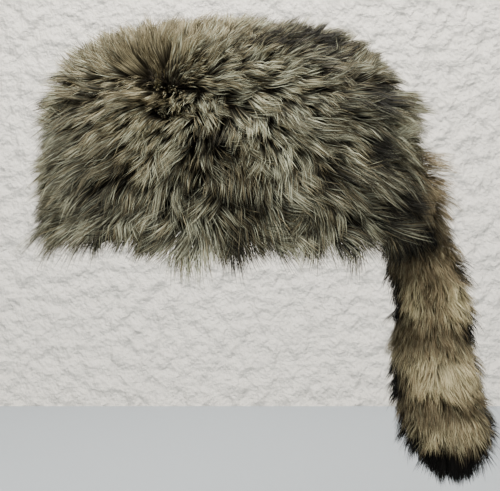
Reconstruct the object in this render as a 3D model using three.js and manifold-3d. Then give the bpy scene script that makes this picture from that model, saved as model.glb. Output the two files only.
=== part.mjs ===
// Coonskin cap: a round fur cap with a domed crown, and a ringed tail that hangs from its back.
//
// Frame, in millimetres: +Z is up, the wearer faces -Y and the wearer's left side is +X.
// The origin is the middle of the head opening, at the height of the hem in front.
import * as THREE from "three";
import { mergeVertices } from "three/addons/utils/BufferGeometryUtils.js";
import Module from "manifold-3d";

// Driving dimensions, in millimetres
const HEAD_LENGTH = 200; // inside the hem, forehead to nape
const HEAD_WIDTH = 160; // inside the hem, side to side
const CLOTH = 2; // knitted backing of the fur cloth
const SEAM_GAP = 0.3; // between pieces that are sewn together
const BAND_HEIGHT = 84; // hem to crown seam
const BAND_TAPER = 4; // the band is this much further in at the crown seam than at the hem
const BAND_BELLY = 2.5; // the band swells out this much between hem and seam
const SIDE_DROP = 4; // the hem hangs this much lower over the ears
const HEM_HEIGHT = 16; // the cloth is turned up inside the hem
const CROWN_RISE = 28; // top of the crown's cloth above the crown seam
const SEAM_ALLOWANCE = 9; // the crown's edge is turned down inside the band
const UNDERFUR = 11; // depth of the dense fur next to the cloth
const UNDERFUR_AT_SEAM = 8; // its depth where it thins out, at the hem and at the crown seam
const BAND_LOCK = 36; // length of a lock of the band's fur
const BAND_LOCK_WIDTH = 26;
const CROWN_LOCK = 31; // length of a lock of the crown's fur
const CROWN_LOCK_WIDTH = 20;
const LOCK_THICKNESS = 8;
const LOCK_ROOT = 5; // a lock starts this deep in the underfur
const FUR_PARTING = 1.2; // between the crown's fur and the band's, along the seam
const PARTING_SLOPE = 0.5; // rise of that parting for each millimetre out
const CREST_SHIFT = 40; // the crown's fur parts this far in front of the middle
const BAND_SWEEP = 0.75; // how much the band's fur leans to the front or back on the sides
const TAIL_LOCK = 30; // length of a lock of the tail's fur
const TAIL_LOCK_THICKNESS = 6;
const TAIL_LOCK_LEAN = 61; // degrees
const TAIL_WIDTH = 44; // the tail's dense fur at its thickest, side to side
const TAIL_DEPTH = 46; // the same, front to back
const TAIL_LENGTH = 226; // straight down, from the tail's top to the end of its dense fur
const TAIL_BACK = 55; // the middle of the tail's end stands this much behind the leather tab
const TAIL_TOP = 50; // the tail's top above the hem
const TAB_WIDTH = 20; // leather tab that the tail hangs from
const TAB_HEIGHT = 34;
const TAB_THICKNESS = 2;
const TAB_OVER_TAIL = 2; // the tab's top above the tail's
const HEM_ROUND = 1; // radius of the fold along the hem
const TAB_ROOM = 0.6; // between the tab and the band's fur

const COLUMNS = 36; // facets round the cap
const TAIL_SIDES = 12;
const TAIL_LOCK_ROWS = 9;
const TAIL_LOCKS_A_ROW = 8;
const TAIL_LOCK_SPAN = [0.2, 0.96]; // first and last row, as shares of TAIL_LENGTH
const TAIL_BARE_ABOVE = -10; // above this height no lock stands on the tail's side next to the band
const TAIL_BARE_SIDE = -0.2; // that side, by how far an outward way of length 1 points to the front

// The cut that parts the crown's fur from the band's: its reach from the seam
const PARTING_CUT = { inward: 30, outward: 70, up: 90, down: 150 };

// How widely locks differ: place as a share of the space for one, comb of a way of length 1,
// and the rest as shares of the row's own value
const CAP_SPREAD = { place: 0.35, comb: 0.6, lean: 0.3, length: 0.2, width: 0.3 };
const TAIL_SPREAD = { place: 0.3, comb: 0.2, lean: 0.1, length: 0.25 };
const SEEDS = { band: 7, crown: 19, tail: 31 };

const WELD = 1e-4; // points closer than this are one

const FINISHES = {
  cloth: { color: 0x5a5044, roughness: 0.95 },
  crownFur: { color: 0x7a7060, roughness: 0.8 },
  bandFur: { color: 0x6d6557, roughness: 0.8 },
  tailFur: { color: 0xa08a68, roughness: 0.8 },
  leather: { color: 0xa58b66, roughness: 0.7 },
};

// Shape tables. Lengths are shares of the sizes named beside them.

// Band cloth: levels of its facets, as shares of BAND_HEIGHT
const BAND_LEVELS = [HEM_ROUND / BAND_HEIGHT, HEM_HEIGHT / BAND_HEIGHT, 0.45, 0.72, 1];

// Crown cloth: radius as a share of the seam's, height as a share of CROWN_RISE
const DOME = [
  { radius: 1, height: 0 },
  { radius: 0.94, height: 0.34 },
  { radius: 0.82, height: 0.63 },
  { radius: 0.62, height: 0.86 },
  { radius: 0.34, height: 0.97 },
  { radius: 0, height: 1 },
];

// Band locks: height as a share of BAND_HEIGHT, length and lean for each row, top row last
const BAND_ROWS = [
  { height: 0.07, count: 24, length: 1.1, lean: 44 },
  { height: 0.28, count: 24, length: 1, lean: 38 },
  { height: 0.5, count: 24, length: 1, lean: 33 },
  { height: 0.72, count: 24, length: 0.95, lean: 25 },
  { height: 0.92, count: 24, length: 0.85, lean: 10 },
];

// Crown locks: radius as a share of the seam's, length as a share of CROWN_LOCK
const CROWN_ROWS = [
  { radius: 0.96, count: 23, length: 0.75, lean: 30 },
  { radius: 0.82, count: 19, length: 0.95, lean: 40 },
  { radius: 0.61, count: 14, length: 0.95, lean: 40 },
  { radius: 0.38, count: 9, length: 0.9, lean: 40 },
  { radius: 0.14, count: 4, length: 0.85, lean: 32 },
];

// Tail sections: drop as a share of TAIL_LENGTH, back as a share of TAIL_BACK,
// girth as a share of TAIL_WIDTH and TAIL_DEPTH
const TAIL_SECTIONS = [
  { drop: 0, back: 0.09, girth: 0.2 },
  { drop: 0.03, back: 0.163, girth: 0.36 },
  { drop: 0.09, back: 0.267, girth: 0.59 },
  { drop: 0.2, back: 0.38, girth: 0.74 },
  { drop: 0.3, back: 0.46, girth: 0.78 },
  { drop: 0.42, back: 0.61, girth: 0.88 },
  { drop: 0.52, back: 0.7, girth: 0.92 },
  { drop: 0.66, back: 0.72, girth: 0.98 },
  { drop: 0.8, back: 0.79, girth: 1 },
  { drop: 0.91, back: 0.92, girth: 0.95 },
  { drop: 0.97, back: 0.98, girth: 0.66 },
  { drop: 1, back: 1, girth: 0.3 },
];

// Room that the band's fur leaves round the tail: drop as a share of TAIL_LENGTH, room in millimetres
const TAIL_ROOM = [
  { drop: -0.03, room: -1 },
  { drop: 0, room: 2 },
  { drop: 0.09, room: 2.5 },
  { drop: 0.19, room: 4 },
  { drop: 0.24, room: 13 },
  { drop: 0.4, room: 15 },
];

// One lock: step along it as a share of its length, bend of the step as a share of its lean,
// and its section there as a share of its width and depth
const LOCK_STATIONS = [
  { step: 0, bend: 0, wide: 0.6, deep: 0.7 },
  { step: 0.45, bend: 0.75, wide: 1, deep: 1 },
  { step: 0.55, bend: 1.3, wide: 0, deep: 0 },
];

// Section of a lock, as shares of its width and depth
const LOCK_SECTION = [
  { across: -0.5, over: 0.3 },
  { across: 0.5, over: 0.3 },
  { across: 0, over: -0.7 },
];

const wasm = await Module();
wasm.setup();

// Numbers from 0 to 1 that are the same in every run.
function seededNumbers(seed) {
  let state = seed;
  return () => {
    state = (state * 1664525 + 1013904223) % 4294967296;
    return state / 4294967296;
  };
}

const mix = (a, b, share) => a + (b - a) * share;
const spread = (random, width) => width * (random() - 0.5);
const radians = THREE.MathUtils.degToRad;

// A closed solid from loose triangles, turned to face out.
function solidFrom(points) {
  const geometry = new THREE.BufferGeometry().setFromPoints(points);
  const merged = mergeVertices(geometry, WELD);
  const corners = merged.index.array;
  const kept = [];
  for (let i = 0; i < corners.length; i += 3) {
    const [a, b, c] = [corners[i], corners[i + 1], corners[i + 2]];
    if (a !== b && b !== c && c !== a) kept.push(a, b, c);
  }
  const build = (triangles) =>
    new wasm.Manifold(
      new wasm.Mesh({
        numProp: 3,
        vertProperties: merged.attributes.position.array,
        triVerts: new Uint32Array(triangles),
      }),
    );
  const solid = build(kept);
  return solid.volume() < 0 ? build(kept.reverse()) : solid;
}

// Rings of points joined into a closed skin. A loop's last ring joins its first, and otherwise
// both ends are capped.
function joinRings(rings, loop) {
  const points = [];
  const bands = loop ? rings.length : rings.length - 1;
  for (let i = 0; i < bands; i++) {
    const lower = rings[i];
    const upper = rings[(i + 1) % rings.length];
    for (let j = 0; j < lower.length; j++) {
      const k = (j + 1) % lower.length;
      points.push(lower[j], lower[k], upper[k], lower[j], upper[k], upper[j]);
    }
  }
  if (!loop) {
    for (const [ring, flip] of [[rings[0], true], [rings[rings.length - 1], false]]) {
      const middle = ring
        .reduce((sum, p) => sum.add(p), new THREE.Vector3())
        .divideScalar(ring.length);
      ring.forEach((p, j) => {
        const next = ring[(j + 1) % ring.length];
        points.push(...(flip ? [next, p, middle] : [p, next, middle]));
      });
    }
  }
  return solidFrom(points);
}

// The band's cloth at a share of its height: half sizes of its outer face, and the way that it faces.
function bandStation(share) {
  const grow = 2 * CLOTH - BAND_TAPER * share + BAND_BELLY * 4 * share * (1 - share);
  return {
    halfWidth: HEAD_WIDTH / 2 + grow,
    halfLength: HEAD_LENGTH / 2 + grow,
    height: BAND_HEIGHT * share,
    drop: SIDE_DROP * (1 - share),
    outward: 1,
    upward: 0,
  };
}

// The crown's cloth at a row of DOME, or between two rows.
function crownStation(radius) {
  const i = Math.max(1, DOME.findIndex((row) => row.radius <= radius));
  const [outer, inner] = [DOME[i - 1], DOME[i]];
  const share = (outer.radius - radius) / (outer.radius - inner.radius);
  const seam = bandStation(1);
  const middle = (seam.halfWidth + seam.halfLength) / 2;
  const before = DOME[Math.max(0, i - (share < 0.5 ? 2 : 1))];
  const after = DOME[Math.min(DOME.length - 1, i + (share < 0.5 ? 0 : 1))];
  const rise = (after.height - before.height) * CROWN_RISE;
  const run = (before.radius - after.radius) * middle;
  const slope = Math.hypot(rise, run);
  return {
    halfWidth: seam.halfWidth * radius,
    halfLength: seam.halfLength * radius,
    height: BAND_HEIGHT + SEAM_GAP + CROWN_RISE * mix(outer.height, inner.height, share),
    drop: 0,
    outward: radius === 0 ? 0 : rise / slope,
    upward: radius === 0 ? 1 : run / slope,
  };
}

// A point of a station's oval, moved off its face. At 0 degrees it is on the wearer's left,
// and at 90 at the back.
function ovalPoint(station, degrees, off = 0) {
  const angle = radians(degrees);
  return new THREE.Vector3(
    (station.halfWidth + off * station.outward) * Math.cos(angle),
    (station.halfLength + off * station.outward) * Math.sin(angle),
    station.height + off * station.upward - station.drop * Math.cos(angle) ** 2,
  );
}

// The way out of an oval at an angle.
function outwardAt(station, degrees) {
  const angle = radians(degrees);
  const flat = new THREE.Vector3(
    Math.cos(angle) * station.halfLength,
    Math.sin(angle) * station.halfWidth,
    0,
  ).normalize();
  flat.multiplyScalar(station.outward);
  return flat.setZ(station.upward).normalize();
}

function ovalRing(station, off) {
  return Array.from({ length: COLUMNS }, (_, j) => ovalPoint(station, (360 * j) / COLUMNS, off));
}

// One lock of fur: a tapered, three-sided strip that starts upright in the underfur and bends over.
function lock({ root, outward, comb, lean, length, width, depth }) {
  const along = comb.clone().addScaledVector(outward, -comb.dot(outward)).normalize();
  const side = new THREE.Vector3().crossVectors(outward, along);
  const at = root.clone();
  const rings = LOCK_STATIONS.map(({ step, bend, wide, deep }) => {
    const angle = radians(lean * bend);
    const way = outward.clone().multiplyScalar(Math.cos(angle)).addScaledVector(along, Math.sin(angle));
    at.addScaledVector(way, length * step);
    const up = new THREE.Vector3().crossVectors(way, side).normalize();
    return LOCK_SECTION.map(({ across, over }) =>
      at
        .clone()
        .addScaledVector(side, across * width * wide)
        .addScaledVector(up, over * depth * deep),
    );
  });
  return joinRings(rings, false);
}

const fuse = (solids) => wasm.Manifold.union(solids);

// The main body of a solid, without the ends of locks that a cut has freed.
const mainBody = (solid) => solid.decompose().sort((a, b) => b.volume() - a.volume())[0];

// Side panel: one strip of fur cloth, turned up inside at the hem.
function bandPanel() {
  const [foot, hem] = BAND_LEVELS;
  const rings = [
    ovalRing(bandStation(0), -HEM_ROUND),
    ...BAND_LEVELS.map((share) => ovalRing(bandStation(share), 0)),
    ...BAND_LEVELS.slice(1).toReversed().map((share) => ovalRing(bandStation(share), -CLOTH)),
    ovalRing(bandStation(hem), -2 * CLOTH),
    ovalRing(bandStation(foot), -2 * CLOTH),
    ovalRing(bandStation(0), HEM_ROUND - 2 * CLOTH),
  ];
  return joinRings(rings, true);
}

// Top panel: a domed oval of fur cloth, its edge turned down inside the band at the seam.
function crownPanel() {
  const seam = bandStation(1);
  const tucked = { ...seam, height: BAND_HEIGHT - SEAM_ALLOWANCE };
  const ledge = { ...seam, height: BAND_HEIGHT + SEAM_GAP };
  const outer = DOME.map((row) => ovalRing(crownStation(row.radius), 0)).toReversed();
  const inner = DOME.map((row) => ovalRing(crownStation(row.radius), -CLOTH));
  inner[0] = ovalRing(ledge, -2 * CLOTH - SEAM_GAP);
  return joinRings(
    [
      ...outer,
      ovalRing(ledge, -CLOTH - SEAM_GAP),
      ovalRing(tucked, -CLOTH - SEAM_GAP),
      ovalRing(tucked, -2 * CLOTH - SEAM_GAP),
      ...inner,
    ],
    false,
  );
}

// How far back the outer face of the leather tab stands.
function tabFace() {
  return bandStation(TAIL_TOP / BAND_HEIGHT).halfLength + SEAM_GAP + TAB_THICKNESS;
}

// The tail's middle line and half sizes at a share of its length, from its top.
function tailStation(share) {
  const last = TAIL_SECTIONS.length - 1;
  const found = TAIL_SECTIONS.findIndex((row) => row.drop >= share);
  const i = found < 0 ? last : Math.max(1, found);
  const [above, below] = [TAIL_SECTIONS[i - 1], TAIL_SECTIONS[i]];
  const part = Math.max(0, (share - above.drop) / (below.drop - above.drop));
  const girth = mix(above.girth, below.girth, part);
  return {
    middle: new THREE.Vector3(
      0,
      tabFace() + TAIL_BACK * mix(above.back, below.back, part),
      TAIL_TOP - TAIL_LENGTH * share,
    ),
    halfWidth: (TAIL_WIDTH * girth) / 2,
    halfDepth: (TAIL_DEPTH * girth) / 2,
  };
}

function tailRing(share, room = 0) {
  const { middle, halfWidth, halfDepth } = tailStation(share);
  return Array.from({ length: TAIL_SIDES }, (_, j) => {
    const angle = (2 * Math.PI * j) / TAIL_SIDES;
    return new THREE.Vector3(
      (halfWidth + room) * Math.cos(angle),
      middle.y + (halfDepth + room) * Math.sin(angle),
      middle.z,
    );
  });
}

// Tail: dense fur over the skin, with rows of locks that point down. None stands on the side that
// lies against the band.
function tail() {
  const random = seededNumbers(SEEDS.tail);
  const core = joinRings(TAIL_SECTIONS.map((row) => tailRing(row.drop)).toReversed(), false);
  const locks = [];
  for (let row = 0; row < TAIL_LOCK_ROWS; row++) {
    const share = mix(...TAIL_LOCK_SPAN, row / (TAIL_LOCK_ROWS - 1));
    const { middle, halfWidth, halfDepth } = tailStation(share);
    for (let j = 0; j < TAIL_LOCKS_A_ROW; j++) {
      const step = j + (row % 2) / 2 + spread(random, TAIL_SPREAD.place);
      const angle = (2 * Math.PI * step) / TAIL_LOCKS_A_ROW;
      const outward = new THREE.Vector3(Math.cos(angle), Math.sin(angle), 0);
      if (middle.z > TAIL_BARE_ABOVE && outward.y < TAIL_BARE_SIDE) continue;
      locks.push(
        lock({
          root: new THREE.Vector3(
            (halfWidth - LOCK_ROOT) * outward.x,
            middle.y + (halfDepth - LOCK_ROOT) * outward.y,
            middle.z,
          ),
          outward,
          comb: new THREE.Vector3(spread(random, TAIL_SPREAD.comb), spread(random, TAIL_SPREAD.comb), -1),
          lean: TAIL_LOCK_LEAN * (1 + spread(random, TAIL_SPREAD.lean)),
          length: TAIL_LOCK * (1 + spread(random, TAIL_SPREAD.length)),
          width: (2 * Math.PI * halfWidth) / TAIL_LOCKS_A_ROW,
          depth: TAIL_LOCK_THICKNESS,
        }),
      );
    }
  }
  return fuse([core, ...locks]);
}

// Leather tab that lies flat on the band behind the tail's top, or the same with room round it.
function tailTab(room = 0) {
  const halfAngle = THREE.MathUtils.radToDeg((TAB_WIDTH / 2 + room) / bandStation(0.5).halfWidth);
  const top = TAIL_TOP + TAB_OVER_TAIL + room;
  const bottom = top - TAB_HEIGHT - 2 * room;
  const rings = [bottom, (top + bottom) / 2, top].map((height) => {
    const station = bandStation(height / BAND_HEIGHT);
    const across = [-1, 0, 1].map((step) => 90 + step * halfAngle);
    const outside = SEAM_GAP + TAB_THICKNESS + room;
    return [
      ...across.map((degrees) => ovalPoint(station, degrees, SEAM_GAP - room)),
      ...across.toReversed().map((degrees) => ovalPoint(station, degrees, outside)),
    ];
  });
  return joinRings(rings, false);
}

// Room that the band's fur leaves for the tail, open at the bottom.
function tailRoom() {
  return joinRings(TAIL_ROOM.map(({ drop, room }) => tailRing(drop, room)).toReversed(), false);
}

// Which way the band's fur lies: down, and towards the front or back on the sides.
function bandComb(degrees) {
  const angle = radians(degrees);
  const sweep = BAND_SWEEP * Math.sin(angle) * Math.sqrt(Math.abs(Math.cos(angle)));
  return new THREE.Vector3(0, sweep, -1);
}

// Everything above the parting between the crown's fur and the band's, or everything below it.
function partingSide(upper) {
  const seam = bandStation(1);
  const lift = (upper ? 0.5 : -0.5) * FUR_PARTING + SEAM_GAP / 2;
  const ring = (height, off) => ovalRing({ ...seam, height: BAND_HEIGHT + lift + height }, off);
  return joinRings(
    [
      ring(0, -PARTING_CUT.inward),
      ring(0, 0),
      ring(PARTING_CUT.outward * PARTING_SLOPE, PARTING_CUT.outward),
      ring(upper ? PARTING_CUT.up : -PARTING_CUT.down, PARTING_CUT.outward),
    ],
    false,
  );
}

function bandFur() {
  const random = seededNumbers(SEEDS.band);
  const depth = (share) => mix(UNDERFUR, UNDERFUR_AT_SEAM, (2 * share - 1) ** 2);
  const skin = joinRings(
    [
      ...BAND_LEVELS.map((share) => ovalRing(bandStation(share), SEAM_GAP + depth(share))),
      ...BAND_LEVELS.toReversed().map((share) => ovalRing(bandStation(share), SEAM_GAP)),
    ],
    true,
  );
  const locks = BAND_ROWS.flatMap((row, i) => {
    const station = bandStation(row.height);
    return Array.from({ length: row.count }, (_, j) => {
      const degrees = (360 * (j + (i % 2) / 2 + spread(random, CAP_SPREAD.place))) / row.count;
      return lock({
        root: ovalPoint(station, degrees, UNDERFUR - LOCK_ROOT),
        outward: outwardAt(station, degrees),
        comb: bandComb(degrees).add(new THREE.Vector3(0, spread(random, CAP_SPREAD.comb), 0)),
        lean: row.lean * (1 + spread(random, CAP_SPREAD.lean)),
        length: BAND_LOCK * row.length * (1 + spread(random, CAP_SPREAD.length)),
        width: BAND_LOCK_WIDTH * (1 + spread(random, CAP_SPREAD.width)),
        depth: LOCK_THICKNESS,
      });
    });
  });
  const cuts = fuse([tailRoom(), tailTab(TAB_ROOM), partingSide(true)]);
  return mainBody(fuse([skin, ...locks]).subtract(cuts));
}

function crownFur() {
  const random = seededNumbers(SEEDS.crown);
  const rows = DOME.map((row) => crownStation(row.radius));
  const depth = (i) => (i === 0 ? UNDERFUR_AT_SEAM : UNDERFUR);
  const outer = rows.map((station, i) => ovalRing(station, SEAM_GAP + depth(i)));
  const inner = rows.map((station) => ovalRing(station, SEAM_GAP));
  const skin = joinRings([...outer.toReversed(), ...inner], false);
  const locks = CROWN_ROWS.flatMap((row, i) => {
    const station = crownStation(row.radius);
    return Array.from({ length: row.count }, (_, j) => {
      const degrees = (360 * (j + (i % 2) / 2 + spread(random, CAP_SPREAD.place))) / row.count;
      const root = ovalPoint(station, degrees, UNDERFUR - LOCK_ROOT);
      return lock({
        root,
        outward: outwardAt(station, degrees),
        comb: new THREE.Vector3(root.x, root.y + CREST_SHIFT, 0),
        lean: row.lean * (1 + spread(random, CAP_SPREAD.lean)),
        length: CROWN_LOCK * row.length * (1 + spread(random, CAP_SPREAD.length)),
        width: CROWN_LOCK_WIDTH * (1 + spread(random, CAP_SPREAD.width)),
        depth: LOCK_THICKNESS,
      });
    });
  });
  return mainBody(fuse([skin, ...locks]).subtract(partingSide(false)));
}

// A named mesh of a solid, with the piece's own finish.
function meshOf(name, solid, finish) {
  const { numProp, numVert, vertProperties, triVerts } = solid.getMesh();
  const places = new Float32Array(numVert * 3);
  for (let i = 0; i < numVert; i++) {
    places.set(vertProperties.subarray(i * numProp, i * numProp + 3), i * 3);
  }
  const geometry = new THREE.BufferGeometry();
  geometry.setAttribute("position", new THREE.BufferAttribute(places, 3));
  geometry.setIndex(new THREE.BufferAttribute(triVerts, 1));
  const mesh = new THREE.Mesh(geometry, new THREE.MeshStandardMaterial({ metalness: 0, ...finish }));
  mesh.name = name;
  return mesh;
}

const cap = new THREE.Group();
cap.name = "coonskin_cap";
cap.add(
  meshOf("crown_panel", crownPanel(), FINISHES.cloth),
  meshOf("band_panel", bandPanel(), FINISHES.cloth),
  meshOf("crown_fur", crownFur(), FINISHES.crownFur),
  meshOf("band_fur", bandFur(), FINISHES.bandFur),
  meshOf("tail_tab", tailTab(), FINISHES.leather),
  meshOf("tail", tail(), FINISHES.tailFur),
);

export default cap;
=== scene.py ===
"""Looks of the coonskin cap: fur grown hair by hair, knitted cloth, a leather tab and the photo's view."""

import math

import bpy
import numpy as np
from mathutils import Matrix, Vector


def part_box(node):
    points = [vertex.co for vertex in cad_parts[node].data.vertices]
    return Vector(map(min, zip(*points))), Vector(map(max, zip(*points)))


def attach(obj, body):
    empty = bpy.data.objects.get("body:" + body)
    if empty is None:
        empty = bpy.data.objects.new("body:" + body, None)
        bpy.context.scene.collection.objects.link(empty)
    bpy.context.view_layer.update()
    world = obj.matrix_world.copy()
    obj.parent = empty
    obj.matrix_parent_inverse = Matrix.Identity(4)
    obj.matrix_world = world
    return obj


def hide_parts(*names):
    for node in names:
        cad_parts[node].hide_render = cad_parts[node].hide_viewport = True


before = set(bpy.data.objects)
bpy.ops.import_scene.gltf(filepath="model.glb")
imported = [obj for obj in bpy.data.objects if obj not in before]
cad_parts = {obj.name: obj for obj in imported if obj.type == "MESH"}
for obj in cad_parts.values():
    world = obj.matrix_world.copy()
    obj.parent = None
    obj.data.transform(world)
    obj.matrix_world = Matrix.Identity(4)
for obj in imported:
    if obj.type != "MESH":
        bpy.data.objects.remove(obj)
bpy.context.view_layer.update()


def table(columns, rows):
    """Rows of a table as one array for each named column."""
    return {name: np.array(values, float) for name, values in zip(columns, zip(*rows))}


MM = 0.001  # sizes below are in millimetres, turned into metres where they are used
TINY = 1e-15  # the shortest length that a direction is divided by

# The cloth, from the frame
SEAM_HALF = np.array(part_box("crown_panel")[1])[:2]  # half sizes of the crown seam's oval, across and along
SEAM_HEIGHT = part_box("band_panel")[1][2]
CROWN_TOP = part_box("crown_panel")[1][2]
BAND_TAPER = 4 * MM  # the band is this much wider at the hem than at the seam
BAND_BELLY = 2.5 * MM  # and swells this much between them
SIDE_DROP = 4 * MM  # the hem hangs lower at the sides
DOME_POWERS = (2.6, 0.55)  # of the curve that the crown's cloth follows
DOME_EDGE = 1e-6  # keeps the slope of that curve finite at the seam
TURNS = np.linspace(0, 2 * math.pi, 96, endpoint=False)  # round the cap, in radians

# Knit and stitches of the cloth
STITCH_WIDTH = 2.2 * MM
STITCH_HEIGHT = 1.5 * MM
STITCH_ROUNDNESS = 0.4  # the lower, the fuller each loop of the knit
FLAT_CLOTH = 0.6  # cloth whose normal leans up or down by more than this counts as the top
THREAD_LENGTH = 4.5 * MM
THREAD_WIDTH = 1.0 * MM
THREAD_SIDES = 6

# Rings of a stitch: place as a share of THREAD_LENGTH, girth as a share of THREAD_WIDTH
STITCH_RINGS = [(-0.5, 0.2), (-0.4, 0.8), (-0.2, 1), (0.2, 1), (0.4, 0.8), (0.5, 0.2)]

# Rows of stitches: name, height, and how far they lie off the band's outer face
STITCH_ROWS = [
    ("hem_stitches", 12.5 * MM, -4.2 * MM),
    ("seam_stitches", 79.5 * MM, -4.4 * MM),
]

# Depths of the fur, off the cloth of the cap and off the tail's dense fur
PELT_DEPTH = 6 * MM  # hairs start here, inside the underfur
FUR_FACE = 15 * MM  # from there to where the outer face of the fur shows
UNDERFUR_DEPTH = 9 * MM  # its outer face
UNDERFUR_INSIDE = 0.5 * MM  # its inner face
TAIL_PELT_DEPTH = -3 * MM
TAIL_UNDERFUR_DEPTH = -1 * MM

# Rings of points that the pelts and the underfur are made of: shares of the height, or radii on the crown
RING_ANGLES = (math.pi / 2 - 0.03, 0.02)  # radians, which put the crown's rings closer together at the seam
BAND_PELT_RINGS = np.linspace(0.02, 0.998, 22)
BAND_UNDERFUR_RINGS = np.linspace(0.005, 0.999, 14)
CROWN_PELT_RINGS = np.sin(np.linspace(*RING_ANGLES, 30))
CROWN_UNDERFUR_RINGS = np.sin(np.linspace(*RING_ANGLES, 24))
TAIL_PELT_RINGS = np.concatenate([np.linspace(0.01, 0.94, 60), [0.955, 0.97, 0.98, 0.99, 0.999]])
TAIL_UNDERFUR_RINGS = np.linspace(0.0, 0.985, 40)

# Lengths and numbers of hairs
BAND_HAIR = 38 * MM
CROWN_HAIR = 28 * MM
TAIL_HAIR = 25 * MM
CAP_HAIRS = 39000  # in each piece
TAIL_HAIRS = 38000

# Spots on the cap where the fur runs apart, across and along, or along and height
WHORL = np.array([92, -54]) * MM  # the crown's fur runs away from this spot at its left front edge
PARTING = np.array([-38, 82]) * MM  # the band's fur parts at this one on the seam
WHORL_REACH = 26 * MM  # round both the fur is denser and stands up more
BRUSHED_REACH = 60 * MM  # round the whorl the fur is brushed soft, with no locks
WHORL_LEAN = 0.75  # share of the lean that the whorl takes off
PARTING_LEAN = 0.6  # share that the parting takes off
PARTING_THICK = 0.6  # this and the next three are what the parting adds
PARTING_SOFT = 0.7
PARTING_TONE = 0.15
PARTING_BROWN = 0.2
BRUSHED_SOFT = 0.9  # how soft the brushed fur is at the whorl

# Heights between which the crown's fur passes from falling with the band's to running away from the whorl
SHOULDER = np.array([84, 94]) * MM

# The band's fur by stops of a place from hem, 0, to seam, 1, and the value there
BAND_TONE = 0.46
BAND_BROWN = 0.35
# Painted shade at the hem, where the fur hangs in shadow, together with the hem's darker tips
HEM_PAINTED_SHADE_AND_DARK_TIPS = [(0, 0.2), (0.3, 0)]  # taken off the tone
BAND_LEAN = [(0, 0.84), (0.3, 0.78), (0.7, 0.74), (1, 0.72)]
BAND_LENGTH = [(0, 1.4), (0.15, 1.18), (0.7, 1), (1, 0.9)]
BAND_THICK = [(0, 2.6), (0.1, 1.8), (0.2, 1)]
BAND_SOFT = [(0, 0.65), (0.15, 0.4), (0.3, 0)]
FRONT_CORNER = [(0, 0.15), (0.2, 0.1), (0.7, 0), (0.85, 0.15), (1, 0.5)]  # how far it stands out at the front
BACK_CORNER = [(0, 0.05), (0.7, 0.05), (0.85, 0.45), (1, 0.6)]
CORNER_START = 0.3  # fur that stands out by more than this is longer too
CORNER_LENGTH = 0.3

# The crown's fur by stops of a place from the middle, 0, to the seam, 1, and the value there
CROWN_TONE = 0.54
CROWN_BROWN = 0.44
CROWN_LEAN = [(0, 0.78), (0.5, 0.82), (0.85, 0.88), (1, 0.8)]
CROWN_LENGTH = [(0, 0.95), (0.6, 1), (0.85, 0.9), (0.98, 1.12), (1, 1.15)]
CROWN_TRIM = [(0.6, 0), (0.85, 0.16), (1, 0.3)]  # taken off the length at the back
FRONT_TRIM = 0.2  # share of it that is taken off at the front
FRONT_LEAN = 0.3  # taken off the lean at the front

# Flow of the fur in the side view: a spot in millimetres, and the angle from straight down towards the back
FLOW = table(("along", "height", "angle"), [
    (-110, 71, -80),
    (-79, 59, -55),
    (-110, 16, -50),
    (-73, 3, -45),
    (-48, 59, -25),
    (-80, 82, -80),
    (-52, 84, -25),
    (-30, 71, 10),
    (-36, 16, -5),
    (-17, -3, -12),
    (-6, 10, 8),
    (4, 53, 50),
    (17, 59, -20),
    (14, 30, -20),
    (32, 53, 25),
    (51, 68, 60),
    (44, 28, 42),
    (75, 46, 62),
    (105, 62, 80),
    (108, 22, 60),
    (69, 3, 50),
    (38, -3, 14),
    (14, -3, 0),
])
FLOW_BLUR = 8  # millimetres over which one spot's flow passes into the next
FLOW_FALL = 1.5  # power by which a spot's pull falls with the square of the distance
FLOW_TURN = 0.4  # power by which the flow straightens towards the front and back

# Flow along the seam: how far back in millimetres, and the angle
SEAM_FLOW = [
    (-100, -88), (-75, -80), (-52, -20), (-35, 50), (-15, 66), (15, 70), (45, 72), (75, 78), (105, 88),
]
SEAM_FLOW_DEPTH = 24 * MM  # down from the seam, over which the seam's flow passes into the band's

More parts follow.
